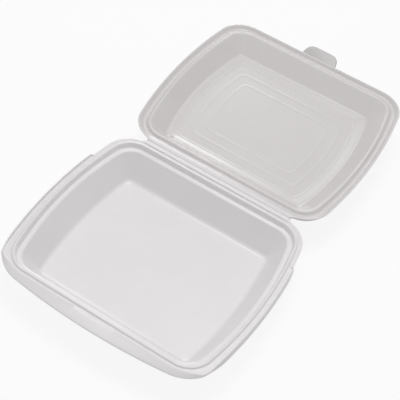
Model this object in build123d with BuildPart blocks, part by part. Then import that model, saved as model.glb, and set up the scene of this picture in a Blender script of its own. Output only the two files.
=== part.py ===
from build123d import *

import os
from math import atan2, cos, pi, radians, sin, sqrt
from typing import NamedTuple

# Rim outline, shared by tray and lid: straight front and hinge sides, bowed short sides
rim_length = 245.0
rim_width = 218.0
side_bow = 12.6
rim_corner = 32.0

# Both hollows sit a little nearer to the hinge than the rim does, so the front walls slope more
hollow_shift = 3.3

# Foam sheet of each half, and how much wider a drafted wall measures across
tray_sheet = 3.0
lid_sheet = 2.4
wall_share = 1.12

# Tray: depth from rim to inside floor, and the floor's own outline
tray_depth = 34.0
floor_length = 179.4
floor_width = 149.6
floor_bow = 4.8
floor_corner = 6.0
floor_round = 4.0

# Tray rim, as insets from the rim outline and drops below the rim
ridge_inset = 6.2
ridge_width = 4.4
ledge_inset = 10.9
ledge_drop = 7.1
ledge_round = 0.8
channel_depth = 2.4
flange_drop = 0.9
flange_edge = 4.6

# Raised lip that goes round the shut lid, and the sloping apron outside it, bowed at front and sides
lip_clear = 0.6
lip_width = 1.6
lip_rise = 1.5
apron_side_reach = 3.4
apron_front_reach = 6.4
apron_side_bow = 14.0
apron_front_bow = 7.5
apron_corner = 40.0
apron_drop = 4.4
apron_edge = 2.2

# The rim changes from lip and apron to plain flange at the side steps
step_y = 59.0

# Tab recess in the front lip
recess_width = 46.0
recess_depth = 3.2

# Living hinge: a strip on each half, with the crease between them
hinge_length = 174.0
hinge_reach = 3.0
hinge_lap = 1.6
crease_width = 2.4
crease_depth = 0.5
web_thickness = 0.9
strip_drop = 0.2
strip_thickness = 3.0

# Lid: how far it is tilted up from lying flat, and the gap between the rims when shut
lid_tilt = 2.1
close_gap = 0.2

# Lid wall, panel edge and panel
lid_wall_depth = 13.6
shoulder_length = 187.0
shoulder_width = 157.0
shoulder_bow = 10.5
shoulder_corner = 6.0
bevel_depth = 4.4
bevel_width = 8.6

# Lid rim, as insets from the rim outline and drops below the lid's rim plane
bead_inset = 8.7
bead_width = 3.6
bead_drop = 1.4
bead_rise = 2.2
trim_width = 2.6
trim_edge = 4.8

# Shallow frames pressed into the lid panel
frame_inset = 14.0
frame_spacing = 13.0
frame_width = 3.0
frame_height = 0.4
frame_corner = 8.0
frame_count = 2

# Tab on the lid's front edge, bent up from the lid's rim plane
tab_root = 43.0
tab_tip = 37.0
tab_reach = 13.4
tab_corner = 9.0
tab_sheet = 2.0
tab_drop = 0.8
tab_bend = 22.0

# Shares of a round or of the sheet: where the sections turn from floor to wall and back
floor_turn_shares = ((0.90, 0.0), (0.28, 0.11))
foot_turn_shares = ((-1.0, 1.0), (-0.40, 0.27), (0.50, 0.0))
wall_turn_share = 0.30
shoulder_turn_shares = (0.47, 0.89)
panel_turn_share = 0.22
tightest_corner_share = 0.25
bead_flat_share = 0.45
bead_fall_share = 0.90

# Worked out from the sizes above
floor_z = tray_sheet
rim_z = tray_depth + tray_sheet
ledge_z = rim_z - ledge_drop
channel_z = rim_z - channel_depth
lip_z = rim_z + lip_rise
apron_z = lip_z - apron_drop
flange_z = rim_z - flange_drop
strip_z = rim_z - strip_drop
hinge_y = rim_width / 2 + hinge_reach
hinge_z = rim_z + close_gap / 2
tray_wall = tray_sheet * wall_share
lid_depth = lid_wall_depth + bevel_depth
valley_drop = bead_drop + bead_rise


class Ring(NamedTuple):
    """One closed outline of the moulding: half sizes, bows, corner radius, shift and height on its plane."""

    half_length: float
    half_width: float
    bow: float
    front_bow: float
    corner: float
    shift: float
    height: float


def inset_corner(corner: float, inset: float) -> float:
    """Corner radius of an outline moved inwards by an inset, kept round."""
    return max(corner - inset, corner * tightest_corner_share)


def rim_ring(inset: float, height: float) -> Ring:
    """Outline that follows the rim."""
    corner = inset_corner(rim_corner, inset)
    return Ring(rim_length / 2 - inset, rim_width / 2 - inset, side_bow, 0, corner, 0, height)


def apron_ring(inset: float, height: float) -> Ring:
    """Outline that follows the edge of the apron."""
    half_length = rim_length / 2 + apron_side_reach - inset
    half_width = rim_width / 2 + apron_front_reach - inset
    return Ring(half_length, half_width, apron_side_bow, apron_front_bow, apron_corner, 0, height)


def floor_ring(inset: float, height: float) -> Ring:
    """Outline that follows the tray floor."""
    corner = inset_corner(floor_corner, inset)
    half_length, half_width = floor_length / 2 - inset, floor_width / 2 - inset
    return Ring(half_length, half_width, floor_bow, 0, corner, hollow_shift, height)


def shoulder_ring(inset: float, height: float) -> Ring:
    """Outline that follows the foot of the lid wall."""
    corner = inset_corner(shoulder_corner, inset)
    half_length, half_width = shoulder_length / 2 - inset, shoulder_width / 2 - inset
    return Ring(half_length, half_width, shoulder_bow, 0, corner, -hollow_shift, height)


def panel_ring(inset: float, height: float) -> Ring:
    """Outline that follows the edge of the lid panel, its sides parallel to that edge."""
    half_length = shoulder_length / 2 - bevel_width - inset
    half_width = shoulder_width / 2 - bevel_width - inset
    share = half_width / (half_width + inset)
    return Ring(half_length, half_width, shoulder_bow * share**2, 0, frame_corner, -hollow_shift, height)


def between(low: Ring, high: Ring, height: float) -> Ring:
    """Outline on the straight wall from one ring to another, at a height."""
    share = (height - low.height) / (high.height - low.height)
    return Ring(*(a + (b - a) * share for a, b in zip(low, high)))


def bead_rings(centre: float, width: float, top: float, inner_foot: float, outer_foot: float) -> list[Ring]:
    """Bead on the rim, from its inner foot over the narrow top to its outer foot."""
    half = width / 2
    flat = half * bead_flat_share
    fall = (half - flat) * bead_fall_share
    return [
        rim_ring(centre + half, inner_foot),
        rim_ring(centre + half, top - fall),
        rim_ring(centre + flat, top),
        rim_ring(centre - flat, top),
        rim_ring(centre - half, top - fall),
        rim_ring(centre - half, outer_foot),
    ]


def arc_radius(half_chord: float, bow: float) -> float:
    """Radius of an arc with a given half chord and bow."""
    return (half_chord**2 + bow**2) / (2 * bow)


def corner_centre(ring: Ring) -> tuple[float, float]:
    """Centre of the corner that touches the bowed side and the front of a ring."""
    side_radius = arc_radius(ring.half_width, ring.bow)
    side_x = ring.half_length - side_radius
    side_reach = side_radius - ring.corner
    if ring.front_bow == 0:
        corner_y = ring.half_width - ring.corner
        return (side_x + sqrt(side_reach**2 - corner_y**2), corner_y)
    front_radius = arc_radius(ring.half_length, ring.front_bow)
    front_y = ring.half_width - front_radius
    apart = sqrt(side_x**2 + front_y**2)
    along = (side_reach**2 - (front_radius - ring.corner) ** 2 + apart**2) / (2 * apart)
    across = sqrt(side_reach**2 - along**2)
    return (
        side_x - (along * side_x + across * front_y) / apart,
        (along * front_y - across * side_x) / apart,
    )


def ring_face(ring: Ring, plane: Plane) -> Sketch:
    """Face inside a ring: eight edges, always in the same order, so that rings loft one to one."""
    side_x = ring.half_length - arc_radius(ring.half_width, ring.bow)
    corner_x, corner_y = corner_centre(ring)
    side_angle = atan2(corner_y, corner_x - side_x)
    front_angle = pi / 2
    if ring.front_bow > 0:
        front_angle = atan2(corner_y - ring.half_width + arc_radius(ring.half_length, ring.front_bow), corner_x)

    def on_corner(angle: float, sign_x: int, sign_y: int) -> tuple[float, float]:
        x = corner_x + ring.corner * cos(angle)
        y = corner_y + ring.corner * sin(angle)
        return (x * sign_x, y * sign_y + ring.shift)

    def corner_edge(first: float, last: float, sign_x: int, sign_y: int) -> None:
        places = (first, (first + last) / 2, last)
        ThreePointArc(*(on_corner(angle, sign_x, sign_y) for angle in places))

    def front_edge(sign_x: int, sign_y: int) -> None:
        start, end = on_corner(front_angle, sign_x, sign_y), on_corner(front_angle, -sign_x, sign_y)
        if ring.front_bow > 0:
            ThreePointArc(start, (0, ring.half_width * sign_y + ring.shift), end)
        else:
            Line(start, end)

    def side_edge(sign_x: int, sign_y: int) -> None:
        middle = (ring.half_length * sign_x, ring.shift)
        start, end = on_corner(side_angle, sign_x, sign_y), on_corner(side_angle, sign_x, -sign_y)
        ThreePointArc(start, middle, end)

    with BuildSketch(plane.offset(ring.height)) as face:
        with BuildLine():
            front_edge(-1, -1)
            corner_edge(front_angle, side_angle, 1, -1)
            side_edge(1, -1)
            corner_edge(side_angle, front_angle, 1, 1)
            front_edge(1, 1)
            corner_edge(front_angle, side_angle, -1, 1)
            side_edge(-1, 1)
            corner_edge(side_angle, front_angle, -1, -1)
        make_face()
    return face.sketch


def ring_faces(rings: list[Ring], plane: Plane) -> list[Sketch]:
    """Faces of a folded sheet, from the inside floor up over the rim and down to the outside."""
    return [ring_face(ring, plane) for ring in rings]


def hinge_points(edge_y: float, crease_y: float, top: float) -> list[tuple[float, float]]:
    """Section of one hinge strip, from inside the rim to the thin web at the crease."""
    toward = 1 if crease_y > edge_y else -1
    root_y = edge_y - toward * hinge_lap
    turn_y = crease_y - toward * crease_width / 2
    return [
        (root_y, top),
        (turn_y, top),
        (crease_y, top - crease_depth),
        (crease_y, top - crease_depth - web_thickness),
        (turn_y, top - strip_thickness),
        (root_y, top - strip_thickness),
    ]


# Tray section, inside: floor, round foot, wall and ledge
floor_foot = floor_ring(0, floor_z)
wall_top = rim_ring(ledge_inset + ledge_round, ledge_z - ledge_round)
tray_inside = [floor_ring(floor_round * a, floor_z + floor_round * b) for a, b in floor_turn_shares]
tray_inside += [
    between(floor_foot, wall_top, floor_z + floor_round / 2),
    wall_top,
    rim_ring(ledge_inset, ledge_z),
]

# Tray section, rim: ridge, then channel, lip and apron at the front or plain flange at the hinge
ridge_outer = ridge_inset - ridge_width / 2
ridge = bead_rings(ridge_inset, ridge_width, rim_z, ledge_z, channel_z)
front_rim = ridge + [
    rim_ring(-lip_clear, channel_z),
    rim_ring(-lip_clear, lip_z - lip_width / 2),
    rim_ring(-lip_clear - lip_width / 2, lip_z),
    apron_ring(0, apron_z),
    apron_ring(0, apron_z - apron_edge),
]
rear_rim = ridge[:-2] + [
    rim_ring(ridge_outer, flange_z),
    rim_ring(flange_drop / 2, flange_z),
    rim_ring(0, flange_z - flange_drop / 2),
    rim_ring(0, rim_z - flange_edge),
]

# Tray section, outside: underside of the rim, wall and foot
wall_out_top = rim_ring(ledge_inset - tray_wall, ledge_z - tray_sheet)
wall_out_foot = floor_ring(-tray_wall, floor_z)
tray_outside = [
    rim_ring(ridge_outer, apron_z - apron_edge),
    wall_out_top,
    between(wall_out_foot, wall_out_top, floor_z + tray_sheet),
]
tray_outside += [floor_ring(tray_wall * a, floor_z * b) for a, b in foot_turn_shares]

step_plane = Plane(origin=(0, step_y, 0), x_dir=(1, 0, 0), z_dir=(0, 1, 0))

with BuildPart() as tray_rear:
    loft(ring_faces(tray_inside + rear_rim + tray_outside, Plane.XY), ruled=True)
    split(bisect_by=step_plane, keep=Keep.TOP)

with BuildPart() as base_tray:
    loft(ring_faces(tray_inside + front_rim + tray_outside, Plane.XY), ruled=True)
    split(bisect_by=step_plane, keep=Keep.BOTTOM)
    add(tray_rear.part)

    # Tab recess: the lip is lower in the middle of the front
    with BuildSketch(Plane.XY.offset(lip_z)):
        with Locations((0, -rim_width / 2)):
            Rectangle(recess_width, apron_front_reach, align=(Align.CENTER, Align.MAX))
    extrude(amount=-recess_depth, mode=Mode.SUBTRACT)

    # Hinge strip
    with BuildSketch(Plane.YZ):
        with BuildLine():
            Polyline(*hinge_points(rim_width / 2, hinge_y, strip_z), close=True)
        make_face()
    extrude(amount=hinge_length / 2, both=True)
base_tray.part.label = "base_tray"

# Lid planes: one through the hinge line, one on the lid's rim, one on the bent tab
lid_up = (0, -sin(radians(lid_tilt)), cos(radians(lid_tilt)))
hinge_plane = Plane(origin=(0, hinge_y, hinge_z), x_dir=(1, 0, 0), z_dir=lid_up)
lid_centre = hinge_plane.from_local_coords((0, hinge_reach + rim_width / 2, -close_gap / 2))
lid_plane = Plane(origin=lid_centre, x_dir=(1, 0, 0), z_dir=lid_up)
tab_up = (0, -sin(radians(lid_tilt + tab_bend)), cos(radians(lid_tilt + tab_bend)))
tab_root_centre = lid_plane.from_local_coords((0, rim_width / 2, -tab_drop))
tab_plane = Plane(origin=tab_root_centre, x_dir=(1, 0, 0), z_dir=tab_up)
lid_section_plane = Plane(origin=lid_centre, x_dir=lid_plane.y_dir, z_dir=lid_plane.x_dir)

# Lid section, inside: panel with its frames, bevel, wall
lid_inside = []
for count in reversed(range(frame_count)):
    middle_inset = frame_inset + frame_spacing * count
    lid_inside += [
        panel_ring(middle_inset + frame_width / 2, -lid_depth),
        panel_ring(middle_inset + frame_width / 4, frame_height - lid_depth),
        panel_ring(middle_inset - frame_width / 4, frame_height - lid_depth),
        panel_ring(middle_inset - frame_width / 2, -lid_depth),
    ]
wall_inset = bead_inset + bead_width / 2
lid_inside += [
    panel_ring(0, -lid_depth),
    shoulder_ring(0, -lid_wall_depth),
]

# Lid section, rim: bead, valley and trim lip
lid_rim = bead_rings(bead_inset, bead_width, -bead_drop, -valley_drop, -valley_drop)
lid_rim += bead_rings(trim_width / 2, trim_width, 0, -valley_drop, -trim_edge)

# Lid section, outside
shoulder_out, shoulder_down = (share * lid_sheet for share in shoulder_turn_shares)
lid_outside = [
    rim_ring(trim_width, -valley_drop - lid_sheet),
    rim_ring(wall_inset - wall_turn_share * lid_sheet, -valley_drop - lid_sheet),
    shoulder_ring(-shoulder_out, -lid_wall_depth - shoulder_down),
    panel_ring(-panel_turn_share * lid_sheet, -lid_depth - lid_sheet),
]

with BuildPart() as lid:
    loft(ring_faces(lid_inside + lid_rim + lid_outside, lid_plane), ruled=True)

    # Tab
    with BuildSketch(tab_plane) as tab_sketch:
        with BuildLine():
            Polyline(
                (-tab_root / 2, -trim_width / 2),
                (-tab_root / 2, 0),
                (-tab_tip / 2, tab_reach),
                (tab_tip / 2, tab_reach),
                (tab_root / 2, 0),
                (tab_root / 2, -trim_width / 2),
                close=True,
            )
        make_face()
        fillet(tab_sketch.vertices().sort_by(Axis.Y)[-2:], radius=tab_corner)
    extrude(amount=-tab_sheet)

    # Hinge strip
    with BuildSketch(lid_section_plane):
        with BuildLine():
            Polyline(*hinge_points(-rim_width / 2, -rim_width / 2 - hinge_reach, -strip_drop), close=True)
        make_face()
    extrude(amount=hinge_length / 2, both=True)
lid.part.label = "lid"

os.makedirs("parts", exist_ok=True)
export_step(base_tray.part, "parts/base_tray.step")
export_step(lid.part, "parts/lid.step")
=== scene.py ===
import logging
import math
from dataclasses import dataclass, field, replace
from enum import Enum
from typing import Any, NamedTuple, Sequence

import bpy
import numpy as np
from mathutils import Matrix, Vector


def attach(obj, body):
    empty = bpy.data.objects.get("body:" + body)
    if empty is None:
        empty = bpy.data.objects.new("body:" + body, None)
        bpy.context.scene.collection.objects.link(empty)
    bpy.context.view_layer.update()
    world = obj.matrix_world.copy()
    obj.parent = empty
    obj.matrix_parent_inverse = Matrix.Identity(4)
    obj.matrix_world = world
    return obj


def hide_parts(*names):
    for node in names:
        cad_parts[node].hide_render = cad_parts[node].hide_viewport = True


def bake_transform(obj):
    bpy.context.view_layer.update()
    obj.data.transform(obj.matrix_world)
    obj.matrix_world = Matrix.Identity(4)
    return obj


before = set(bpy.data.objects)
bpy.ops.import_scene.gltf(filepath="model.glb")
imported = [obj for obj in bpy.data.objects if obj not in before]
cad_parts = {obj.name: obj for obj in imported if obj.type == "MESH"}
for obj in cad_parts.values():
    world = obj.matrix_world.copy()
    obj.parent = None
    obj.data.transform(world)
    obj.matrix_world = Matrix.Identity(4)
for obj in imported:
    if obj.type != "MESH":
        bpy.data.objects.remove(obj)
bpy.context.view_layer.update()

MM = 0.001
SHEET_WAVER = 0.30
WAVER_RUNS = (31.0, 27.0, 19.0, 23.0)
HINGE_ENDS = (0.02, 0.98)
WHITE = (1.0, 1.0, 1.0, 1.0)
LOG = logging.getLogger("foam_box")


class Body(str, Enum):
    """The two rigid bodies of the box."""

    BASE = "base"
    LID = "lid"


class Side(Enum):
    """The eight runs of an outline, in the order in which the columns go round it."""

    FRONT = 0
    FRONT_RIGHT = 1
    RIGHT = 2
    BACK_RIGHT = 3
    BACK = 4
    BACK_LEFT = 5
    LEFT = 6
    FRONT_LEFT = 7


class Rim(Enum):
    """The kinds of rim between the ridge and the underside of the flange."""

    LIP = "raised lip and apron"
    LOW = "lip come down to the front shelf's height, clear of the shut lid"
    SHELF = "sloped front shelf"
    END = "lip without apron, beside the step"
    RECESS = "shelf cut down for the tab"
    FLANGE = "plain flange"
    STRIP = "hinge strip"


class Ring(NamedTuple):
    """One closed outline of the moulding on its plane, in mm."""

    half_length: float
    half_width: float
    bow: float
    front_bow: float
    corner: float
    shift: float
    height: float


class Station(NamedTuple):
    """One corner of the moulding's section: the outline there and how far the corner is rounded, in mm."""

    ring: Ring
    round: float


@dataclass(frozen=True)
class Outline:
    """A closed outline with bowed sides and round corners, in mm.

    Attributes:
        length: size along the hinge.
        width: size across the hinge.
        bow: how far the short sides are bowed.
        corner: radius of the corners.
        front_bow: how far the front and the back are bowed.
        shift: how far the outline's middle is moved across the hinge.
        least_corner: share of the corner's radius that an inset leaves at least.
    """

    length: float
    width: float
    bow: float
    corner: float
    front_bow: float = 0.01
    shift: float = 0.0
    least_corner: float = 0.25

    def at(self, inset: float, height: float, rounding: float = 0.0) -> Station:
        """Section corner on this outline.

        Args:
            inset: how far inside the outline.
            height: height of the ring.
            rounding: how far the section's corner is rounded.

        Returns:
            The station.
        """
        corner = max(self.corner - inset, self.least_corner * self.corner)
        half_length, half_width = self.length / 2 - inset, self.width / 2 - inset
        return Station(
            Ring(half_length, half_width, self.bow, self.front_bow, corner, self.shift, height), rounding
        )

    def parallel(self, inset: float, height: float, rounding: float = 0.0) -> Station:
        """Section corner on a ring whose sides run parallel to this outline, as for `at`."""
        station = self.at(inset, height, rounding)
        share = 1 - 2 * inset / self.width
        return Station(station.ring._replace(bow=self.bow * share**2, corner=self.corner), rounding)


def rounded_section(stations: Sequence[Station], steps: int = 6, most: float = 0.48) -> np.ndarray:
    """Rings of a section, with each corner turned into a short curve.

    Args:
        stations: the section's corners in order.
        steps: rings per corner.
        most: largest share of a gap that one corner's curve takes up.

    Returns:
        An array of rings, seven values each.
    """
    rings = np.array([s.ring for s in stations], float)
    gaps = np.hypot(np.diff(rings[:, 1]), np.diff(rings[:, 6]))
    share = np.linspace(0, 1, steps)[:, None]
    found = [rings[:1]]
    for k in range(1, len(rings) - 1):
        here = rings[k]
        start = here + (rings[k - 1] - here) * min(most, stations[k].round / gaps[k - 1])
        end = here + (rings[k + 1] - here) * min(most, stations[k].round / gaps[k])
        found.append((1 - share) ** 2 * start + 2 * share * (1 - share) * here + share**2 * end)
    found.append(rings[-1:])
    return np.concatenate(found)


def smooth_step(value: np.ndarray, low: float, high: float) -> np.ndarray:
    """Smooth change from 0 below low to 1 above high."""
    share = np.clip((value - low) / (high - low), 0, 1)
    return share * share * (3 - 2 * share)


def waver(points: np.ndarray) -> np.ndarray:
    """Heights of a slow unevenness, as a moulded sheet has.

    Args:
        points: points with their x and y in mm.

    Returns:
        One height per point, in mm.
    """
    x, y = points[..., 0], points[..., 1]
    along, across, slant, counter = WAVER_RUNS
    square = np.sin(x / along + 0.6) * np.sin(y / across - 0.4)
    skew = np.sin((x + y) / slant) * np.sin((x - 0.7 * y) / counter)
    return SHEET_WAVER * 0.5 * (square + skew)


@dataclass(frozen=True)
class Columns:
    """The places round an outline at which every ring has a point.

    Attributes:
        straight: points on the front and on the back.
        side: points on each bowed side.
        corner: points on each corner.
        dense_straight: shares of the straight runs with closer points around them.
        dense_side: shares of the bowed sides with closer points around them.
        dense_reach: share of a run that the closer points take up on either side of a place.
        dense_count: number of closer points around a place.
        least_gap: share of a run below which two points become one.
    """

    straight: int = 46
    side: int = 46
    corner: int = 20
    dense_straight: tuple[float, ...] = ()
    dense_side: tuple[float, ...] = ()
    dense_reach: float = 0.02
    dense_count: int = 17
    least_gap: float = 0.0015

    def _shares(self, count: int, dense: Sequence[float]) -> np.ndarray:
        """Evenly spaced shares of a run without its end, with closer ones around some places."""
        close = np.linspace(-self.dense_reach, self.dense_reach, self.dense_count)
        every = np.concatenate([np.linspace(0, 1, count + 1), *(place + close for place in dense)])
        every = np.unique(np.round(every[(every >= 0) & (every <= 1)], 5))
        keep = np.concatenate([[True], np.diff(every) > self.least_gap])
        return every[keep & (every < 1)]

    def lay(self, rings: np.ndarray) -> np.ndarray:
        """Points of rings on their outlines.

        Args:
            rings: an array of rings, seven values each.

        Returns:
            Points by ring and column, in mm.
        """
        length, width, bow, front, corner, shift, height = (rings[:, k : k + 1] for k in range(7))
        side_radius = (width**2 + bow**2) / (2 * bow)
        side_x = length - side_radius
        front_radius = (length**2 + front**2) / (2 * front)
        front_y = width - front_radius
        apart = np.hypot(side_x, front_y)
        along = ((side_radius - corner) ** 2 - (front_radius - corner) ** 2 + apart**2) / (2 * apart)
        across = np.sqrt((side_radius - corner) ** 2 - along**2)
        corner_x = side_x - (along * side_x + across * front_y) / apart
        corner_y = (along * front_y - across * side_x) / apart
        side_end = np.arctan2(corner_y, corner_x - side_x)
        front_end = np.arctan2(corner_y - front_y, corner_x)
        swing = (math.pi / 2 - front_end) * (2 * self._shares(self.straight, self.dense_straight)[None] - 1)
        bowed = side_end * (2 * self._shares(self.side, self.dense_side)[None] - 1)
        turn = np.linspace(0, 1, self.corner, endpoint=False)[None]

        def run(x: np.ndarray, y: np.ndarray) -> np.ndarray:
            """Points of one run, moved to their height."""
            x, y = np.broadcast_arrays(x, y + shift)
            return np.stack([x, y, np.broadcast_to(height, x.shape)], axis=-1)

        def arc(sign_x: int, sign_y: int, start: np.ndarray, end: np.ndarray) -> np.ndarray:
            """Points of one corner between two angles."""
            angle = start + (end - start) * turn
            return run(
                sign_x * corner_x + corner * np.cos(angle), sign_y * corner_y + corner * np.sin(angle)
            )

        half_turn = math.pi
        runs = {
            Side.FRONT: run(front_radius * np.sin(swing), -front_y - front_radius * np.cos(swing)),
            Side.FRONT_RIGHT: arc(1, -1, -front_end, -side_end),
            Side.RIGHT: run(side_x + side_radius * np.cos(bowed), side_radius * np.sin(bowed)),
            Side.BACK_RIGHT: arc(1, 1, side_end, front_end),
            Side.BACK: run(-front_radius * np.sin(swing), front_y + front_radius * np.cos(swing)),
            Side.BACK_LEFT: arc(-1, 1, half_turn - front_end, half_turn - side_end),
            Side.LEFT: run(-side_x - side_radius * np.cos(bowed), -side_radius * np.sin(bowed)),
            Side.FRONT_LEFT: arc(-1, -1, half_turn + side_end, half_turn + front_end),
        }
        return np.concatenate([runs[name] for name in Side], axis=1)


def mesh_object(name: str, points: np.ndarray, faces: Sequence[Sequence[int]]) -> bpy.types.Object:
    """Smooth mesh object linked to the scene.

    Args:
        name: the object's name.
        points: its points, in metres.
        faces: its faces.

    Returns:
        The object.
    """
    mesh = bpy.data.meshes.new(name)
    mesh.from_pydata(points.reshape(-1, 3).tolist(), [], list(faces))
    mesh.validate()
    mesh.shade_smooth()
    item = bpy.data.objects.new(name, mesh)
    bpy.context.scene.collection.objects.link(item)
    return item


def shell_object(name: str, points: np.ndarray) -> bpy.types.Object:
    """Closed object over rings of points, with its first and last ring filled.

    Args:
        name: the object's name.
        points: points by ring and column, in metres.

    Returns:
        The object.
    """
    rows, columns = points.shape[:2]
    index = np.arange(rows * columns).reshape(rows, columns)
    ahead = np.roll(index, -1, axis=1)
    quads = np.stack([index[:-1], index[1:], ahead[1:], ahead[:-1]], axis=-1).reshape(-1, 4)
    return mesh_object(name, points, [*quads.tolist(), index[0].tolist(), index[-1][::-1].tolist()])


class Value:
    """A number socket in a shader, with Python's operators adding Math nodes."""

    def __init__(self, graph: "NodeGraph", socket: bpy.types.NodeSocket) -> None:
        """Keeps the graph and the socket."""
        self.graph = graph
        self.socket = socket

    def _math(self, operation: str, first: Any, second: Any) -> "Value":
        """Math node on two values."""
        made = self.graph.node("ShaderNodeMath", {"operation": operation}, {0: first, 1: second})
        return Value(self.graph, made)

    def __add__(self, other: Any) -> "Value":
        """Sum."""
        return self._math("ADD", self, other)

    __radd__ = __add__

    def __mul__(self, other: Any) -> "Value":
        """Product."""
        return self._math("MULTIPLY", self, other)

    __rmul__ = __mul__

    def __sub__(self, other: Any) -> "Value":
        """Difference."""
        return self._math("SUBTRACT", self, other)

    def __rsub__(self, other: Any) -> "Value":
        """Difference the other way round."""
        return self._math("SUBTRACT", other, self)


class NodeGraph:
    """Node tree of a material, a world or a geometry group."""

    def __init__(self, tree: bpy.types.NodeTree) -> None:
        """Clears the tree and keeps it."""
        self.tree = tree
        tree.nodes.clear()

    def node(
        self,
        kind: str,
        settings: dict[str, Any] | None = None,
        sockets: dict[Any, Any] | None = None,
        out: Any = 0,
    ) -> bpy.types.NodeSocket:
        """Adds a node.

        Args:
            kind: the node's type.
            settings: attributes of the node, set first.
            sockets: values or links of its input sockets.
            out: the output socket to return.

        Returns:
            That output socket, or the node if it has none.
        """
        made = self.tree.nodes.new(kind)
        for key, value in (settings or {}).items():
            setattr(made, key, value)
        for key, value in (sockets or {}).items():
            source = value.socket if isinstance(value, Value) else value
            if isinstance(source, bpy.types.NodeSocket):
                self.tree.links.new(source, made.inputs[key])
            else:
                made.inputs[key].default_value = source
        return made.outputs[out] if len(made.outputs) else made

    def value(self, *args: Any, **kwargs: Any) -> Value:
        """As `node`, with the output wrapped for maths."""
        return Value(self, self.node(*args, **kwargs))

    def seen_rays(self) -> Value:
        """1 for the rays that show the background: camera, glossy and transmission rays."""
        rays = self.node("ShaderNodeLightPath").node.outputs
        kinds = ("Is Camera Ray", "Is Glossy Ray", "Is Transmission Ray")
        return sum((Value(self, rays[kind]) for kind in kinds[1:]), Value(self, rays[kinds[0]]))

    def blend(self, share: Value, first: Any, second: Any) -> bpy.types.NodeSocket:
        """Mix of two colours.

        Args:
            share: share of the second colour.
            first: the first colour.
            second: the second colour.

        Returns:
            The mixed colour's socket.
        """
        settings = {"data_type": "RGBA", "clamp_factor": True}
        return self.node("ShaderNodeMix", settings, {0: share, 6: first, 7: second}, out=2)

    def noise(self, place: bpy.types.NodeSocket, scale: float, **sockets: float) -> Value:
        """Noise texture.

        Args:
            place: coordinates.
            scale: its scale.
            sockets: values of other inputs, by name.

        Returns:
            The noise, from 0 to 1.
        """
        return self.value("ShaderNodeTexNoise", {}, {"Vector": place, "Scale": scale, **sockets}, out="Fac")

    def ramp(self, source: Value, low: float, high: float) -> Value:
        """Smooth change from 0 at low to 1 at high.

        Args:
            source: the value that drives the change.
            low: where it starts.
            high: where it ends.

        Returns:
            The changed value.
        """
        return self.value(
            "ShaderNodeMapRange",
            {"interpolation_type": "SMOOTHSTEP"},
            {"Value": source, "From Min": low, "From Max": high, "To Min": 0.0, "To Max": 1.0},
        )


@dataclass(frozen=True)
class FoamFinish:
    """White foamed sheet: a matte skin with flattened cells, soft mottling and faint streaks.

    Attributes:
        name: the material's name.
        light: colour of the skin.
        shade: colour where the skin is thinner.
        dent: place of a small dent, in metres, or None.
        dent_radius: its radius, in metres.
        dent_depth: its depth, in heights of the cell relief.
        dent_shade: share of the colour that is left in the dent, which darkens it as painted shade.
        cell: size of the cells, in metres.
        cell_height: height of the cell relief, in metres.
        cloud_scale: scale of the mottling.
        grain_scale: scale of the fine grain.
        streak_scale: scale of the pulled streaks along each axis.
        mottle_shares: shares of mottling, grain and streaks in the colour.
        relief_shares: shares of cells, grain and streaks in the relief.
        roughness: middle roughness of the skin.
        roughness_spread: how far the roughness varies.
        coat: weight of the sheen on the skin.
        coat_roughness: roughness of that sheen.
    """

    name: str
    light: tuple[float, float, float, float]
    shade: tuple[float, float, float, float]
    dent: tuple[float, float, float] | None = None
    dent_radius: float = 0.0042
    dent_depth: float = 5.0
    dent_shade: float = 0.6
    cell: float = 0.0012
    cell_height: float = 0.00004
    cloud_scale: float = 28.0
    grain_scale: float = 420.0
    streak_scale: tuple[float, float, float] = (9.0, 260.0, 60.0)
    mottle_shares: tuple[float, float, float] = (0.50, 0.38, 0.12)
    relief_shares: tuple[float, float, float] = (0.55, 0.35, 0.1)
    roughness: float = 0.44
    roughness_spread: float = 0.16
    coat: float = 0.3
    coat_roughness: float = 0.2

    def make(self) -> bpy.types.Material:
        """Builds the material.

        Returns:
            The material.
        """
        material = bpy.data.materials.new(self.name)
        material.use_nodes = True
        graph = NodeGraph(material.node_tree)
        place = graph.node("ShaderNodeTexCoord", out="Object")
        cells = graph.value(
            "ShaderNodeTexVoronoi",
            {"feature": "SMOOTH_F1"},
            {"Vector": place, "Scale": 1 / self.cell, "Smoothness": 0.7, "Randomness": 1.0},
            out="Distance",
        )
        cloud = graph.noise(place, self.cloud_scale, Detail=3.0, Roughness=0.55)
        fine = graph.noise(place, self.grain_scale, Detail=2.0, Roughness=0.6)
        pulled = graph.node("ShaderNodeMapping", {}, {"Vector": place, "Scale": self.streak_scale})
        streak = graph.noise(pulled, 1.0, Detail=2.0)
        clouded, grained, streaked = self.mottle_shares
        mottle = cloud * clouded + fine * grained + streak * streaked
        celled, grained, streaked = self.relief_shares
        height = (1 - cells) * celled + fine * grained + streak * streaked
        colour = graph.blend(graph.ramp(mottle, 0.3, 0.7), self.shade, self.light)
        if self.dent is not None:
            away = graph.value(
                "ShaderNodeVectorMath", {"operation": "DISTANCE"}, {0: place, 1: self.dent}, out="Value"
            )
            pit = 1 - graph.ramp(away, 0.1 * self.dent_radius, self.dent_radius)
            # Inside the dent the colour is darkened: painted shade in the hollow; the relief is lowered
            # there as well.
            dent_painted_shade = tuple(self.dent_shade * c for c in self.shade[:3]) + (1.0,)
            colour = graph.blend(pit, colour, dent_painted_shade)
            height = height - pit * self.dent_depth
        rough = self.roughness - self.roughness_spread / 2 + mottle * self.roughness_spread
        bump = graph.node(
            "ShaderNodeBump", {}, {"Height": height, "Distance": self.cell_height, "Strength": 1.0}
        )
        skin = graph.node(
            "ShaderNodeBsdfPrincipled",
            {},
            {
                "Base Color": colour,
                "Roughness": rough,
                "Normal": bump,
                "Coat Weight": self.coat,
                "Coat Roughness": self.coat_roughness,
            },
        )
        graph.node("ShaderNodeOutputMaterial", {}, {"Surface": skin})
        return material


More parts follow.
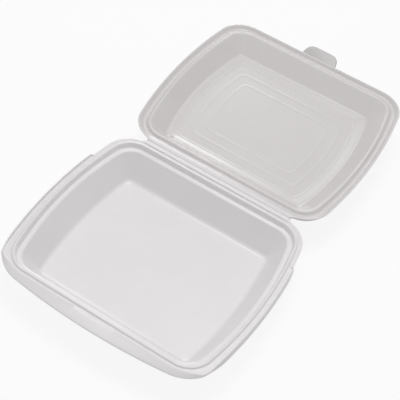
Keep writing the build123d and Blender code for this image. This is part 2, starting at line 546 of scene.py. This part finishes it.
@dataclass(frozen=True)
class FloorFinish:
    """Plain pale studio floor, white to the camera where no shadow falls.

    Attributes:
        name: the material's name.
        colour: colour of the paper.
        glow: share of plain white that the camera sees.
        grain_scale: scale of the paper's grain.
        roughness: least roughness of the paper.
        roughness_spread: how far the roughness varies.
    """

    name: str = "studio_floor"
    colour: tuple[float, float, float, float] = (0.92, 0.92, 0.92, 1.0)
    glow: float = 0.87
    grain_scale: float = 60.0
    roughness: float = 0.75
    roughness_spread: float = 0.1

    def make(self) -> bpy.types.Material:
        """Builds the material.

        Returns:
            The material.
        """
        material = bpy.data.materials.new(self.name)
        material.use_nodes = True
        graph = NodeGraph(material.node_tree)
        place = graph.node("ShaderNodeTexCoord", out="Object")
        rough = graph.noise(place, self.grain_scale) * self.roughness_spread + self.roughness
        paper = graph.node("ShaderNodeBsdfPrincipled", {}, {"Base Color": self.colour, "Roughness": rough})
        white = graph.node("ShaderNodeEmission", {}, {"Color": WHITE, "Strength": 1.0})
        shown = graph.seen_rays() * self.glow
        mixed = graph.node("ShaderNodeMixShader", {}, {0: shown, 1: paper, 2: white})
        graph.node("ShaderNodeOutputMaterial", {}, {"Surface": mixed})
        return material


class SweepTree:
    """Geometry node tree that sweeps a flat bead along the edges of a mesh."""

    def __init__(self, name: str) -> None:
        """Builds the tree.

        Args:
            name: the tree's name.
        """
        self.tree = bpy.data.node_groups.new(name, "GeometryNodeTree")
        kinds = {
            "Path": "NodeSocketGeometry",
            "Half Width": "NodeSocketFloat",
            "Height": "NodeSocketFloat",
            "Finish": "NodeSocketMaterial",
        }
        face = self.tree.interface
        self.inputs = {
            key: face.new_socket(key, in_out="INPUT", socket_type=kind) for key, kind in kinds.items()
        }
        face.new_socket("Bead", in_out="OUTPUT", socket_type="NodeSocketGeometry")
        add = NodeGraph(self.tree).node
        given = add("NodeGroupInput").node.outputs
        path = add("GeometryNodeMeshToCurve", {}, {0: given["Path"]})
        upright = add("GeometryNodeSetCurveNormal", {"mode": "Z_UP"}, {0: path})
        hump = {"Resolution": 10, "Start": (-1, 0, 0), "Middle": (0, -2, 0), "End": (1, 0, 0)}
        curve = add("GeometryNodeCurveQuadraticBezier", {}, hump)
        size = add("ShaderNodeCombineXYZ", {}, {0: given["Half Width"], 1: given["Height"], 2: 1.0})
        section = add("GeometryNodeTransform", {}, {"Geometry": curve, "Scale": size})
        bead = add("GeometryNodeCurveToMesh", {}, {"Curve": upright, "Profile Curve": section})
        smooth = add("GeometryNodeSetShadeSmooth", {}, {0: bead})
        real = add("GeometryNodeRealizeInstances", {}, {0: smooth})
        done = add("GeometryNodeSetMaterial", {}, {"Geometry": real, "Material": given["Finish"]})
        add("NodeGroupOutput", {}, {0: done})

    def sweep(
        self,
        name: str,
        loops: Sequence[np.ndarray],
        half_width: float,
        height: float,
        finish: bpy.types.Material,
    ) -> bpy.types.Object:
        """Sweeps beads along closed loops.

        Args:
            name: the object's name.
            loops: points of each loop, in metres.
            half_width: half the bead's width, in metres.
            height: the bead's height, in metres.
            finish: its material.

        Returns:
            The beads as one mesh object.
        """
        edges, start = [], 0
        for loop in loops:
            count = len(loop)
            edges += [(start + k, start + (k + 1) % count) for k in range(count)]
            start += count
        path = bpy.data.meshes.new(f"{name}_path")
        path.from_pydata(np.concatenate(loops).tolist(), edges, [])
        host = bpy.data.objects.new(f"{name}_path", path)
        bpy.context.scene.collection.objects.link(host)
        modifier = host.modifiers.new("sweep", "NODES")
        modifier.node_group = self.tree
        given = {"Half Width": half_width, "Height": height, "Finish": finish}
        for key, value in given.items():
            modifier[self.inputs[key].identifier] = value
        graph = bpy.context.evaluated_depsgraph_get()
        mesh = bpy.data.meshes.new_from_object(host.evaluated_get(graph), depsgraph=graph)
        host.modifiers.remove(modifier)
        bpy.data.objects.remove(host)
        mesh.name = name
        item = bpy.data.objects.new(name, mesh)
        bpy.context.scene.collection.objects.link(item)
        return item


@dataclass
class BoxSizes:
    """Sizes that tray and lid share, in mm."""

    rim: Outline = field(default_factory=lambda: Outline(245.0, 218.0, 12.6, 32.0))
    rim_z: float = 37.0
    hinge_half: float = 87.0
    hinge_reach: float = 3.0
    hinge_fade: tuple[float, float] = (2.0, 3.0)
    strip_inset: float = 1.6
    strip_drop: float = 0.2
    valley_inset: float = 2.2
    valley_depth: float = 1.9
    crease_width: float = 2.0
    crease_depth: float = 0.9
    web: float = 0.7
    strip_thickness: float = 3.0
    lid_tilt: float = 2.1
    close_gap: float = 0.2

    @property
    def hinge_y(self) -> float:
        """Place of the crease."""
        return self.rim.width / 2 + self.hinge_reach

    @property
    def hinge_z(self) -> float:
        """Height of the hinge line."""
        return self.rim_z + self.close_gap / 2

    def hinged(self, x: np.ndarray) -> np.ndarray:
        """Share of hinge strip at places along the hinge: 1 between the strip's ends and 0 past them."""
        inner, outer = self.hinge_fade
        return 1 - smooth_step(np.abs(x), self.hinge_half - inner, self.hinge_half + outer)

    def strip(self, level: float) -> list[Station]:
        """Section corners of a hinge strip, from the valley beside it to its underside.

        Args:
            level: height of the rim.

        Returns:
            The stations.
        """
        top = level - self.strip_drop
        crease = -self.hinge_reach
        turn = crease + self.crease_width / 2
        return [
            self.rim.at(self.valley_inset, top - self.valley_depth, 0.3),
            self.rim.at(self.strip_inset, top, 0.4),
            self.rim.at(turn, top, 0.4),
            self.rim.at(crease, top - self.crease_depth, 0.12),
            self.rim.at(crease, top - self.crease_depth - self.web, 0.1),
            self.rim.at(turn, top - self.strip_thickness, 0.4),
        ]


@dataclass
class Tray:
    """The deep half: floor, walls, ledge, ridge, channel, lip and apron, with its hinge strip."""

    sizes: BoxSizes
    floor: Outline = field(default_factory=lambda: Outline(184.4, 152.0, 6.4, 6.0, shift=3.3))
    foot: Outline = field(default_factory=lambda: Outline(179.4, 149.6, 4.8, 6.0, shift=3.3))
    apron: Outline = field(default_factory=lambda: Outline(251.8, 230.8, 14.0, 40.0, front_bow=12.0))
    sheet: float = 3.0
    wall: float = 3.36
    wall_foot: float = 0.72
    core_insets: tuple[float, float] = (50.0, 20.0)
    floor_round: float = 3.8
    front_setback: float = 5.0
    ledge_inset: float = 10.9
    ledge_half: float = 2.2
    ledge_drop: float = 7.1
    ledge_rises: tuple[float, float] = (0.8, 1.5)
    ridge_inset: float = 6.2
    ridge_width: float = 4.4
    ridge_flanks: tuple[float, float] = (1.5, 0.9)
    channel_depth: float = 1.6
    lip_clear: float = 0.6
    lip_width: float = 1.6
    lip_rise: float = 1.5
    apron_drop: float = 4.4
    apron_edge: float = 2.2
    apron_lift: float = 1.3
    tight_reach: float = 1.7
    low_lift: float = 0.7
    low_edge: float = 1.2
    end_drop: float = 1.2
    shelf_drop: float = 0.1
    shelf_fall: float = 2.2
    shelf_lip: float = 0.7
    shelf_crest: float = 2.6
    shelf_edge: float = 2.1
    groove: float = 1.6
    flange_drop: float = 0.9
    flange_valley: float = 0.9
    flange_edge: float = 4.6
    shelf_y: float = -107.0
    low_y: float = -89.0
    lip_y: float = -77.0
    step_y: float = 59.0
    step_fade: float = 0.5
    step_round: float = 16.0
    step_share: float = 0.357
    recess_half: float = 23.0
    recess_fade: float = 0.7
    recess_share: float = 0.137
    recess_depth: float = 1.6
    waver_starts: tuple[float, float] = (1.0, 2.5)
    waver_ends: tuple[float, float] = (28.0, 33.0)

    @property
    def ridge_outer(self) -> float:
        """Inset of the ridge's outer foot."""
        return self.ridge_inset - self.ridge_width / 2

    @property
    def apron_z(self) -> float:
        """Height of the apron's edge."""
        return self.sizes.rim_z + self.lip_rise - self.apron_drop

    @property
    def inner(self) -> Outline:
        """Outline that ledge, ridge and groove follow, set back behind the front shelf."""
        rim = self.sizes.rim
        return replace(rim, width=rim.width - self.front_setback, shift=self.front_setback / 2)

    def _inside(self) -> list[Station]:
        """Section corners from the floor to the ridge."""
        inner, level = self.inner, self.sizes.rim_z
        ledge = level - self.ledge_drop
        ridge = self.ridge_inset + self.ridge_width / 2
        (low, high), (inward, outward) = self.ledge_rises, self.ridge_flanks
        return [
            self.floor.at(self.core_insets[0], self.sheet),
            self.floor.at(self.core_insets[1], self.sheet, 1.0),
            self.floor.at(0, self.sheet, self.floor_round),
            inner.at(self.ledge_inset + self.ledge_half, ledge + low, 1.2),
            inner.at(self.ledge_inset - 0.3, ledge + high, 1.0),
            inner.at(self.ledge_inset - self.ledge_half, ledge + high, 0.5),
            inner.at(ridge - inward, level, 1.2),
            inner.at(self.ridge_outer + outward, level, 1.2),
        ]

    def _outside(self) -> list[Station]:
        """Section corners from the underside of the rim to the middle of the foot."""
        rim, level = self.sizes.rim, self.sizes.rim_z
        return [
            rim.at(self.ridge_outer, self.apron_z - self.apron_edge, 0.8),
            rim.at(self.ledge_inset - self.wall, level - self.ledge_drop - self.sheet, 2.0),
            self.foot.at(-self.wall * self.wall_foot, 0, 4.0),
            self.foot.at(self.core_insets[1], 0, 1.0),
            self.foot.at(self.core_insets[0], 0),
        ]

    def _rims(self) -> dict[Rim, list[Station]]:
        """Section corners between ridge and underside for each kind of rim."""
        rim, inner, level = self.sizes.rim, self.inner, self.sizes.rim_z
        outer, clear = self.ridge_outer, self.lip_clear
        base = level - self.channel_depth
        flat = level - self.flange_drop
        valley = flat - self.flange_valley
        tight = replace(
            rim, length=rim.length + 2 * self.tight_reach, width=rim.width + 2 * self.tight_reach
        )
        top = level + self.lip_rise

        def lip(drop: float, fall: float, apron: Outline, thick: float) -> list[Station]:
            """Channel, lip and apron, with the crest's drop and the edge's fall, outline and thickness."""
            crest, edge = top - drop, self.apron_z + self.apron_lift - fall
            return [
                inner.at(outer, base, 0.6),
                rim.at(-clear, base, 0.4),
                rim.at(-clear - 0.05, crest, 0.5),
                rim.at(-clear - 0.55 * self.lip_width, crest, 0.5),
                apron.at(0.3, edge, 0.5),
                apron.at(0.05, edge - 0.5 * thick, 0.4),
                apron.at(0.3, edge - thick, 0.4),
            ]

        def shelf(drop: float) -> list[Station]:
            """Groove and sloped shelf out to the apron's edge, the shelf's lip lowered by a drop."""
            crest, slope = level - self.shelf_drop, level - self.shelf_drop - self.shelf_fall
            foot = outer - self.groove
            return [
                inner.at(outer, base, 0.6),
                inner.at(foot, base, 0.5),
                inner.at(foot - self.shelf_lip, crest - drop, 0.6),
                inner.at(foot - self.shelf_crest, crest - 0.5 - 0.1 * drop, 0.6),
                self.apron.at(1.0, slope, 0.9),
                self.apron.at(0.05, slope - 0.9, 0.6),
                self.apron.at(0.7, slope - self.shelf_edge, 0.5),
            ]

        return {
            Rim.LIP: lip(0, 0, self.apron, self.apron_edge),
            Rim.LOW: lip(self.lip_rise + self.shelf_drop, -self.low_lift, tight, self.low_edge),
            Rim.SHELF: shelf(0),
            Rim.END: lip(self.end_drop, self.end_drop, tight, self.apron_edge),
            Rim.RECESS: shelf(self.recess_depth),
            Rim.FLANGE: [
                inner.at(outer - 0.2, valley, 0.5),
                rim.at(3.0, valley, 0.6),
                rim.at(1.6, flat, 0.3),
                rim.at(0.0, flat, 0.5),
                rim.at(0.0, flat - 1.2, 0.3),
                rim.at(0.0, flat - 2.4, 0.3),
                rim.at(0.0, level - self.flange_edge, 0.6),
            ],
            Rim.STRIP: [inner.at(outer, flat - 0.8, 0.4), *self.sizes.strip(level)],
        }

    def points(self) -> np.ndarray:
        """Points of the tray's sheet.

        Returns:
            Points by ring and column, in mm.
        """
        columns = Columns(
            dense_straight=(0.5 - self.recess_share, 0.5 + self.recess_share, *HINGE_ENDS),
            dense_side=(0.5 + self.step_share, 0.5 - self.step_share),
        )
        kinds = {
            kind: columns.lay(rounded_section([*self._inside(), *middle, *self._outside()]))
            for kind, middle in self._rims().items()
        }
        guide = columns.lay(np.array([self.sizes.rim.at(0, 0).ring]))[0]
        x, y = np.abs(guide[:, 0]), guide[:, 1]
        rear = smooth_step(y, self.step_y - self.step_fade, self.step_y + self.step_fade)
        hinge = np.where(y > 0, self.sizes.hinged(x), 0) * rear
        cut = 1 - smooth_step(x, self.recess_half - self.recess_fade, self.recess_half + self.recess_fade)
        recess = np.where(y < 0, cut, 0)
        reach = np.clip((self.step_y - y) / self.step_round, 0, 1)
        end = np.where(y > 0, 1 - np.sqrt(1 - (1 - reach) ** 2), 0) * (1 - rear)
        front = 1 - smooth_step(y, self.shelf_y, self.low_y)
        low = 1 - smooth_step(y, self.low_y, self.lip_y) - front
        share = {
            Rim.LIP: 1 - rear - front - low - end,
            Rim.LOW: low,
            Rim.SHELF: front - recess,
            Rim.END: end,
            Rim.RECESS: recess,
            Rim.FLANGE: rear - hinge,
            Rim.STRIP: hinge,
        }
        points = sum(kinds[kind] * share[kind][None, :, None] for kind in kinds)
        height = points[..., 2]
        loose = smooth_step(height, *self.waver_starts) * (1 - smooth_step(height, *self.waver_ends))
        points[..., 2] += waver(points) * loose
        return points

    def build(self, foam: bpy.types.Material) -> bpy.types.Object:
        """Builds and dresses the tray.

        Args:
            foam: its material.

        Returns:
            The tray.
        """
        item = shell_object("tray_shell", self.points() * MM)
        item.data.materials.append(foam)
        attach(item, Body.BASE.value)
        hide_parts("base_tray")
        return item


@dataclass
class Lid:
    """The shallow half: panel, bevel, wall, bead and trim lip, with its tab and hinge strip."""

    sizes: BoxSizes
    shoulder: Outline = field(default_factory=lambda: Outline(187.0, 157.0, 10.5, 6.0, shift=-2.8))
    sheet: float = 2.4
    panel_shift: float = -3.3
    wall_depth: float = 16.3
    bevel_depth: float = 1.7
    bevel_width: float = 8.6
    core_insets: tuple[float, float] = (44.0, 20.0)
    panel_corner: float = 8.0
    panel_step: float = 0.35
    dent: tuple[float, float, float] = (-75.5, -80.0, -15.4)
    frame_insets: tuple[float, ...] = (14.0, 27.0)
    frame_width: float = 4.6
    frame_height: float = 0.2
    frame_sink: float = 0.04
    bead_inset: float = 10.8
    bead_width: float = 4.8
    bead_drop: float = 1.4
    bead_rise: float = 2.2
    strip_width: float = 4.9
    trim_width: float = 2.6
    trim_edge: float = 3.6
    tab_root: float = 43.0
    tab_tip: float = 37.0
    tab_reach: float = 13.4
    tab_corner: float = 9.0
    tab_sheet: float = 2.0
    tab_drop: float = 0.8
    tab_bend: float = 22.0
    tab_steps: int = 12
    tab_rings: int = 13
    waver_starts: tuple[float, float] = (-20.2, -19.0)
    waver_ends: tuple[float, float] = (-4.0, -1.5)

    @property
    def place(self) -> Matrix:
        """Matrix from the lid's own rim plane, in mm, to the row frame, in metres."""
        turn = Matrix.Rotation(math.radians(self.sizes.lid_tilt), 4, "X")
        hinge = Matrix.Translation((0, self.sizes.hinge_y, self.sizes.hinge_z))
        middle = self.sizes.hinge_reach + self.sizes.rim.width / 2
        own = Matrix.Translation((0, middle, -self.sizes.close_gap / 2))
        return Matrix.Scale(MM, 4) @ hinge @ turn @ own

    @property
    def panel(self) -> Outline:
        """Outline of the flat panel."""
        edge, wall = 2 * self.bevel_width, self.shoulder
        length, width = wall.length - edge, wall.width - edge
        return Outline(length, width, wall.bow, self.panel_corner, shift=self.panel_shift)

    @property
    def depth(self) -> float:
        """Depth of the panel below the rim."""
        return self.wall_depth + self.bevel_depth

    def placed(self, points: np.ndarray) -> np.ndarray:
        """Points moved from the lid's own plane, in mm, to the row frame, in metres."""
        place = np.array(self.place)
        return points @ place[:3, :3].T + place[:3, 3]

    def points(self) -> np.ndarray:
        """Points of the lid's sheet.

        Returns:
            Points by ring and column, in mm, on the lid's own plane.
        """
        rim, panel, shoulder = self.sizes.rim, self.panel, self.shoulder
        valley = self.bead_drop + self.bead_rise
        under = -valley - self.sheet
        half = self.bead_width / 2
        inside = [
            panel.parallel(self.core_insets[0], -self.depth),
            panel.parallel(self.core_insets[1], -self.depth, 1.0),
            panel.parallel(2.6, -self.depth, 0.8),
            panel.parallel(0.9, self.panel_step - self.depth, 0.7),
            panel.parallel(-0.6, self.panel_step - self.depth, 0.5),
            shoulder.at(2.0, -self.wall_depth - 0.05, 0.8),
            shoulder.at(-0.3, -self.wall_depth, 1.6),
            rim.at(self.bead_inset + half, -self.bead_drop - 0.9, 1.2),
            rim.at(self.bead_inset + 0.8, -self.bead_drop, 1.2),
            rim.at(self.bead_inset - 0.9, -self.bead_drop - 0.1, 1.0),
            rim.at(self.bead_inset - half - 0.6, -valley, 0.9),
        ]
        outside = [
            rim.at(self.trim_width, under, 0.8),
            rim.at(self.bead_inset + half - 0.3 * self.sheet, under, 2.0),
            shoulder.at(-0.47 * self.sheet, -self.wall_depth - 0.89 * self.sheet, 2.0),
            panel.parallel(-0.22 * self.sheet, -self.depth - self.sheet, 2.0),
            panel.parallel(self.core_insets[1], -self.depth - self.sheet, 1.0),
            panel.parallel(self.core_insets[0], -self.depth - self.sheet),
        ]
        middles = {
            Rim.LIP: [
                rim.at(self.trim_width + 2.0, -valley + 0.3, 1.2),
                rim.at(1.4, 0, 0.8),
                rim.at(0, 0, 0.7),
                rim.at(0, -1.0, 0.5),
                rim.at(0.7, -2.0, 0.4),
                rim.at(2.0, -self.trim_edge, 0.5),
            ],
            Rim.STRIP: self.sizes.strip(0),
        }
        columns = Columns(dense_straight=HINGE_ENDS)
        kinds = {
            kind: columns.lay(rounded_section([*inside, *middle, *outside]))
            for kind, middle in middles.items()
        }
        guide = columns.lay(np.array([rim.at(0, 0).ring]))[0]
        hinge = np.where(guide[:, 1] < 0, self.sizes.hinged(guide[:, 0]), 0)[None, :, None]
        points = kinds[Rim.LIP] * (1 - hinge) + kinds[Rim.STRIP] * hinge
        height = points[..., 2]
        loose = (1 - smooth_step(height, *self.waver_ends)) * smooth_step(height, *self.waver_starts)
        points[..., 2] += waver(points) * loose
        return points

    def tab_points(self) -> np.ndarray:
        """Points of the tab, a rounded plate bent up at its root.

        Returns:
            Points by ring and column, in mm, on the lid's own plane.
        """
        corners = np.array(
            [
                (-self.tab_root / 2, -self.trim_width / 2),
                (self.tab_root / 2, -self.trim_width / 2),
                (self.tab_root / 2, 0),
                (self.tab_tip / 2, self.tab_reach),
                (-self.tab_tip / 2, self.tab_reach),
                (-self.tab_root / 2, 0),
            ]
        )
        rounds = (0.4, 0.4, 0.6, self.tab_corner, self.tab_corner, 0.6)
        share = np.linspace(0, 1, self.tab_steps)[:, None]
        outline = []
        for k, corner in enumerate(corners):
            back, ahead = corners[k - 1] - corner, corners[(k + 1) % len(corners)] - corner
            start = corner + back / np.linalg.norm(back) * rounds[k]
            end = corner + ahead / np.linalg.norm(ahead) * rounds[k]
            outline.append((1 - share) ** 2 * start + 2 * share * (1 - share) * corner + share**2 * end)
        flat = np.concatenate(outline)
        tangent = np.roll(flat, -1, axis=0) - np.roll(flat, 1, axis=0)
        normal = np.stack([-tangent[:, 1], tangent[:, 0]], axis=1)
        normal /= np.linalg.norm(normal, axis=1)[:, None]
        edge, bend = self.tab_sheet / 2, math.radians(self.tab_bend)
        rings = []
        for angle in np.linspace(math.pi / 2, -math.pi / 2, self.tab_rings):
            plan = flat + normal * edge * (1 - math.cos(angle))
            height = edge * math.sin(angle) - edge
            out = self.sizes.rim.width / 2 + plan[:, 1] * math.cos(bend) - height * math.sin(bend)
            up = -self.tab_drop + plan[:, 1] * math.sin(bend) + height * math.cos(bend)
            rings.append(np.column_stack([plan[:, 0], out, up]))
        return np.array(rings)

    def frame_loops(self) -> list[np.ndarray]:
        """Middle lines of the pressed frames on the panel, in metres, in the row frame."""
        columns = Columns(straight=30, side=30, corner=12)
        loops = []
        for inset in self.frame_insets:
            loop = columns.lay(np.array([self.panel.parallel(inset, 0).ring]))[0]
            loop[:, 2] = waver(loop) - self.depth - self.frame_sink
            loops.append(self.placed(loop))
        return loops

    def build(
        self, foam: bpy.types.Material, pressed: bpy.types.Material, strip: bpy.types.Material
    ) -> list[bpy.types.Object]:
        """Builds and dresses the lid, its tab and the frames on its panel.

        Args:
            foam: material of the lid, a darker copy of the tray's foam as painted shade.
            pressed: material of the tab, a much darker copy of the foam as painted shade on the bent-up
                tab.
            strip: material of the hinge strip, a slightly darker copy of the tray's foam as painted shade.

        Returns:
            The pieces.
        """
        shell = shell_object("lid_shell", self.placed(self.points()))
        tab = shell_object("lid_tab", self.placed(self.tab_points()))
        # The lid's material is a darker copy of the tray's foam: painted shade.
        shell.data.materials.append(foam)
        # The hinge strip's faces take a slightly darker copy of the foam: painted shade.
        shell.data.materials.append(strip)
        strip_end = (self.sizes.hinge_y + self.strip_width) * MM
        for face in shell.data.polygons:
            face.material_index = int(face.center.y < strip_end)
        # The tab's material is painted shade: a much darker copy of the foam.
        tab.data.materials.append(pressed)
        beads = SweepTree("pressed_frame").sweep(
            "lid_frames", self.frame_loops(), self.frame_width / 2 * MM, self.frame_height * MM, foam
        )
        for item in (shell, tab, beads):
            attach(item, Body.LID.value)
        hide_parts("lid")
        return [shell, tab, beads]


@dataclass
class HingeWeb:
    """The thin creased web that joins the two hinge strips."""

    sizes: BoxSizes
    half_width: float = 1.1
    top_drop: float = 0.92
    thickness_share: float = 0.8
    bend_half: float = 0.8
    end_gap: float = 0.4
    across: int = 15
    along: int = 40

    def build(self, foam: bpy.types.Material) -> bpy.types.Object:
        """Builds and dresses the web.

        Args:
            foam: its material.

        Returns:
            The web.
        """
        sizes = self.sizes
        top = sizes.rim_z - sizes.strip_drop - self.top_drop
        thick = sizes.web * self.thickness_share
        x = np.linspace(-1, 1, self.along + 1)[:, None] * (sizes.hinge_half - self.end_gap)
        over = np.linspace(-1, 1, self.across)
        y = sizes.hinge_y + np.concatenate([over, over[::-1]])[None] * self.half_width
        z = np.repeat([top, top - thick], self.across)[None]
        points = np.stack(np.broadcast_arrays(x, y, z), axis=-1)
        item = shell_object("hinge_web", points * MM)
        item.data.materials.append(foam)
        height = top - thick / 2
        sides = (-self.bend_half, self.bend_half)
        start, end = (Vector((0, sizes.hinge_y + side, height)) * MM for side in sides)
        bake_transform(item)
        return item


@dataclass
class PhotoCamera:
    """Camera at the photograph's angle.

    Attributes:
        azimuth: angle round the object, in degrees.
        elevation: angle above the floor, in degrees.
        roll: tilt about the line of sight, in degrees.
        place: the camera's place, in mm.
        focal: focal length, in pixels of the photograph.
        pixels: width of the photograph, in pixels.
        sensor: width of the camera's sensor, in mm.
        clip: nearest and farthest seen distance, in metres.
    """

    azimuth: float = 24.487
    elevation: float = 49.042
    roll: float = -10.288
    place: tuple[float, float, float] = (289.04, -555.18, 835.75)
    focal: float = 1052.643
    pixels: float = 400.0
    sensor: float = 36.0
    clip: tuple[float, float] = (0.05, 50.0)

    def build(self) -> bpy.types.Object:
        """Adds the camera and makes it the scene's.

        Returns:
            The camera.
        """
        a, e, r = (math.radians(v) for v in (self.azimuth, self.elevation, self.roll))
        back = Vector((math.sin(a) * math.cos(e), -math.cos(a) * math.cos(e), math.sin(e)))
        level = Vector((0, 0, 1)).cross(back).normalized()
        upright = back.cross(level)
        right = level * math.cos(r) - upright * math.sin(r)
        up = level * math.sin(r) + upright * math.cos(r)
        data = bpy.data.cameras.new("photo_camera")
        data.sensor_width = self.sensor
        data.lens = self.sensor * self.focal / self.pixels
        data.clip_start, data.clip_end = self.clip
        camera = bpy.data.objects.new("photo_camera", data)
        turn = Matrix((right, up, back)).transposed().to_4x4()
        camera.matrix_world = Matrix.Translation(Vector(self.place) * MM) @ turn
        bpy.context.scene.collection.objects.link(camera)
        bpy.context.scene.camera = camera
        return camera


class Lamp(NamedTuple):
    """One soft lamp: name, place and size in metres, power in watts, and whether it only makes sheen."""

    name: str
    place: tuple[float, float, float]
    size: float
    power: float
    sheen_only: bool = False


@dataclass
class Studio:
    """Pale floor, soft lamps and white surroundings."""

    floor_size: float = 6.0
    world_strength: float = 0.485
    aim: tuple[float, float, float] = (0.0, 0.1, 0.02)
    lamps: tuple[Lamp, ...] = (
        Lamp("over_lamp", (-0.14, 0.40, 1.40), 0.55, 7.1),
        Lamp("back_lamp", (-0.86, 1.80, 0.84), 0.70, 12.0, sheen_only=True),
    )

    def _add_lamp(self, lamp: Lamp) -> None:
        """Adds one soft lamp, aimed at the middle of the box."""
        data = bpy.data.lights.new(lamp.name, "AREA")
        data.energy = lamp.power
        data.size = lamp.size
        item = bpy.data.objects.new(lamp.name, data)
        item.location = lamp.place
        item.visible_diffuse = not lamp.sheen_only
        item.rotation_mode = "QUATERNION"
        item.rotation_quaternion = (Vector(self.aim) - Vector(lamp.place)).to_track_quat("-Z", "Y")
        bpy.context.scene.collection.objects.link(item)

    def build(self) -> None:
        """Adds floor, lamps, world and view settings."""
        half = self.floor_size / 2
        square = np.array([(-half, -half, 0), (half, -half, 0), (half, half, 0), (-half, half, 0)])
        floor = mesh_object("floor", square, [(0, 1, 2, 3)])
        floor.data.materials.append(FloorFinish().make())
        for lamp in self.lamps:
            self._add_lamp(lamp)
        world = bpy.data.worlds.new("studio")
        world.use_nodes = True
        graph = NodeGraph(world.node_tree)
        soft, white = (
            graph.node("ShaderNodeBackground", {}, {"Color": WHITE, "Strength": strength})
            for strength in (self.world_strength, 1.0)
        )
        mixed = graph.node("ShaderNodeMixShader", {}, {0: graph.seen_rays(), 1: soft, 2: white})
        graph.node("ShaderNodeOutputWorld", {}, {"Surface": mixed})
        bpy.context.scene.world = world
        bpy.context.scene.view_settings.view_transform = "Standard"


def main() -> None:
    """Builds the box, the studio and the camera."""
    logging.basicConfig(level=logging.INFO, format="%(name)s: %(message)s")
    sizes = BoxSizes()
    lid = Lid(sizes)
    dent = tuple(lid.placed(np.array(lid.dent)).tolist())
    tray_foam = FoamFinish("tray_foam", (0.865, 0.845, 0.851, 1.0), (0.84, 0.819, 0.824, 1.0)).make()
    # The lid's hinge strip takes a slightly darker copy of the tray's foam: painted shade between the
    # tray's tone and the lid's.
    strip_foam_painted_shade = FoamFinish("strip_foam_painted_shade", (0.80, 0.778, 0.782, 1.0), (0.776, 0.754, 0.758, 1.0)).make()
    # The lid takes a darker copy of the tray's foam: painted shade for the lid lying in less light.
    lid_foam_painted_shade = FoamFinish(
        "lid_foam_painted_shade", (0.70, 0.671, 0.674, 1.0), (0.675, 0.645, 0.647, 1.0), dent=dent
    ).make()
    # The tab takes a much darker copy of the foam: painted shade on the bent-up tab, which faces away from
    # the lamps.
    tab_foam_painted_shade = FoamFinish(
        "tab_foam_painted_shade", (0.49, 0.468, 0.468, 1.0), (0.472, 0.45, 0.45, 1.0), cell=0.0009
    ).make()
    made = [
        Tray(sizes).build(tray_foam),
        *lid.build(lid_foam_painted_shade, tab_foam_painted_shade, strip_foam_painted_shade),
        HingeWeb(sizes).build(tray_foam),
    ]
    for item in made:
        LOG.info("%s: %d faces", item.name, len(item.data.polygons))
    Studio().build()
    PhotoCamera().build()


if __name__ == "__main__":
    main()
